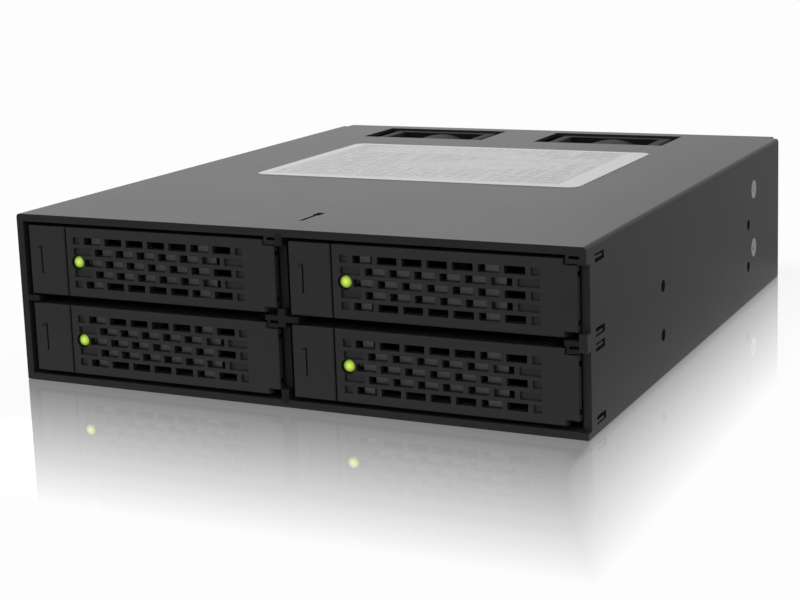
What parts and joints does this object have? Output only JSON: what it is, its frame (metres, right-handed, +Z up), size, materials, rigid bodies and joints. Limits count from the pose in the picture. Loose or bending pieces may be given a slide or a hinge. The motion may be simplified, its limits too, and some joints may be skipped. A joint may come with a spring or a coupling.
{
  "type": "hot swap drive cage",
  "caption": "Steel hot swap cage for small drives that fills a half-height bay, with latched sliding trays, grille handles, rear fans and rear ports.",
  "frame": {"origin": "middle of the underside, halfway between the front faces and the rear lip", "axes": "+Z up; the tray faces look along -Y and the trays slide out that way; +X to the right as seen from the front; the ports look along +Y"},
  "size_m": [0.146, 0.17, 0.0414],
  "materials": {
    "black_steel": "fine satin powder coat",
    "black_plastic": "fine moulded texture",
    "fan_plastic": "smooth moulded",
    "port_plastic": "smooth",
    "circuit_board": "solder mask",
    "zinc_sheet": "dull zinc plate",
    "gold_contact": "gilt",
    "nickel_screw": "nickel plated",
    "zinc_screw": "zinc plated",
    "spring_steel": "drawn wire",
    "silver_label": "matt silver foil, blank",
    "lime_lamp": "clear pipe lit lime green"
  },
  "bodies": {
    "cage": {"cover": "black_steel", "base_plate": "black_steel", "centre_divider": "black_steel", "rear_panel": "black_steel", "shelf_left": "black_steel", "shelf_right": "black_steel", "backplane_board": "circuit_board", "backplane_screws": "zinc_screw", "cover_screws": "nickel_screw", "fan_screws": "zinc_screw", "spec_label": "silver_label", "fan_frame_left": "fan_plastic", "fan_frame_right": "fan_plastic", "port_board_left": "circuit_board", "port_board_centre": "circuit_board", "port_board_right": "circuit_board", "data_port_1": "port_plastic", "data_port_2": "port_plastic", "data_port_3": "port_plastic", "data_port_4": "port_plastic", "power_port_left": "port_plastic", "power_port_right": "port_plastic", "drive_socket_lower_left": "port_plastic", "drive_socket_lower_right": "port_plastic", "drive_socket_upper_left": "port_plastic", "drive_socket_upper_right": "port_plastic"},
    "tray_lower_left": {"tray_plate_lower_left": "black_steel", "tray_frame_lower_left": "black_plastic", "button_spring_lower_left": "spring_steel", "hinge_pin_lower_left": "spring_steel", "light_pipe_lower_left": "lime_lamp"},
    "handle_lower_left": {"handle_lower_left": "black_plastic", "grille_shield_lower_left": "zinc_sheet"},
    "button_lower_left": {"button_lower_left": "black_plastic"},
    "tray_lower_right": {"tray_plate_lower_right": "black_steel", "tray_frame_lower_right": "black_plastic", "button_spring_lower_right": "spring_steel", "hinge_pin_lower_right": "spring_steel", "light_pipe_lower_right": "lime_lamp"},
    "handle_lower_right": {"handle_lower_right": "black_plastic", "grille_shield_lower_right": "zinc_sheet"},
    "button_lower_right": {"button_lower_right": "black_plastic"},
    "tray_upper_left": {"tray_plate_upper_left": "black_steel", "tray_frame_upper_left": "black_plastic", "button_spring_upper_left": "spring_steel", "hinge_pin_upper_left": "spring_steel", "light_pipe_upper_left": "lime_lamp"},
    "handle_upper_left": {"handle_upper_left": "black_plastic", "grille_shield_upper_left": "zinc_sheet"},
    "button_upper_left": {"button_upper_left": "black_plastic"},
    "tray_upper_right": {"tray_plate_upper_right": "black_steel", "tray_frame_upper_right": "black_plastic", "button_spring_upper_right": "spring_steel", "hinge_pin_upper_right": "spring_steel", "light_pipe_upper_right": "lime_lamp"},
    "handle_upper_right": {"handle_upper_right": "black_plastic", "grille_shield_upper_right": "zinc_sheet"},
    "button_upper_right": {"button_upper_right": "black_plastic"},
    "rotor_left": {"fan_rotor_left": "fan_plastic"},
    "rotor_right": {"fan_rotor_right": "fan_plastic"}
  },
  "joints": [
    {"name": "tray_slide_lower_left", "type": "slide", "parent": "cage", "child": "tray_lower_left", "axis": [0, -1, 0], "range_m": [0, 0.11]},
    {"name": "handle_swing_lower_left", "type": "hinge", "parent": "tray_lower_left", "child": "handle_lower_left", "pos_m": [-0.0067, -0.0832, 0.01105], "axis": [0, 0, 1], "range_deg": [0, 80]},
    {"name": "button_press_lower_left", "type": "slide", "parent": "tray_lower_left", "child": "button_lower_left", "axis": [-1, 0, 0], "range_m": [0, 0.0012], "stiffness_N_per_m": 800, "springref_m": -0.002, "deforming": ["button_spring_lower_left"]},
    {"name": "tray_slide_lower_right", "type": "slide", "parent": "cage", "child": "tray_lower_right", "axis": [0, -1, 0], "range_m": [0, 0.11]},
    {"name": "handle_swing_lower_right", "type": "hinge", "parent": "tray_lower_right", "child": "handle_lower_right", "pos_m": [0.0654, -0.0832, 0.01105], "axis": [0, 0, 1], "range_deg": [0, 80]},
    {"name": "button_press_lower_right", "type": "slide", "parent": "tray_lower_right", "child": "button_lower_right", "axis": [-1, 0, 0], "range_m": [0, 0.0012], "stiffness_N_per_m": 800, "springref_m": -0.002, "deforming": ["button_spring_lower_right"]},
    {"name": "tray_slide_upper_left", "type": "slide", "parent": "cage", "child": "tray_upper_left", "axis": [0, -1, 0], "range_m": [0, 0.11]},
    {"name": "handle_swing_upper_left", "type": "hinge", "parent": "tray_upper_left", "child": "handle_upper_left", "pos_m": [-0.0067, -0.0832, 0.0302], "axis": [0, 0, 1], "range_deg": [0, 80]},
    {"name": "button_press_upper_left", "type": "slide", "parent": "tray_upper_left", "child": "button_upper_left", "axis": [-1, 0, 0], "range_m": [0, 0.0012], "stiffness_N_per_m": 800, "springref_m": -0.002, "deforming": ["button_spring_upper_left"]},
    {"name": "tray_slide_upper_right", "type": "slide", "parent": "cage", "child": "tray_upper_right", "axis": [0, -1, 0], "range_m": [0, 0.11]},
    {"name": "handle_swing_upper_right", "type": "hinge", "parent": "tray_upper_right", "child": "handle_upper_right", "pos_m": [0.0654, -0.0832, 0.0302], "axis": [0, 0, 1], "range_deg": [0, 80]},
    {"name": "button_press_upper_right", "type": "slide", "parent": "tray_upper_right", "child": "button_upper_right", "axis": [-1, 0, 0], "range_m": [0, 0.0012], "stiffness_N_per_m": 800, "springref_m": -0.002, "deforming": ["button_spring_upper_right"]},
    {"name": "fan_spin_left", "type": "hinge", "parent": "cage", "child": "rotor_left", "pos_m": [-0.0334, 0.07, 0.02065], "axis": [0, 1, 0], "continuous": true},
    {"name": "fan_spin_right", "type": "hinge", "parent": "cage", "child": "rotor_right", "pos_m": [0.0239, 0.07, 0.02065], "axis": [0, 1, 0], "continuous": true}
  ]
}
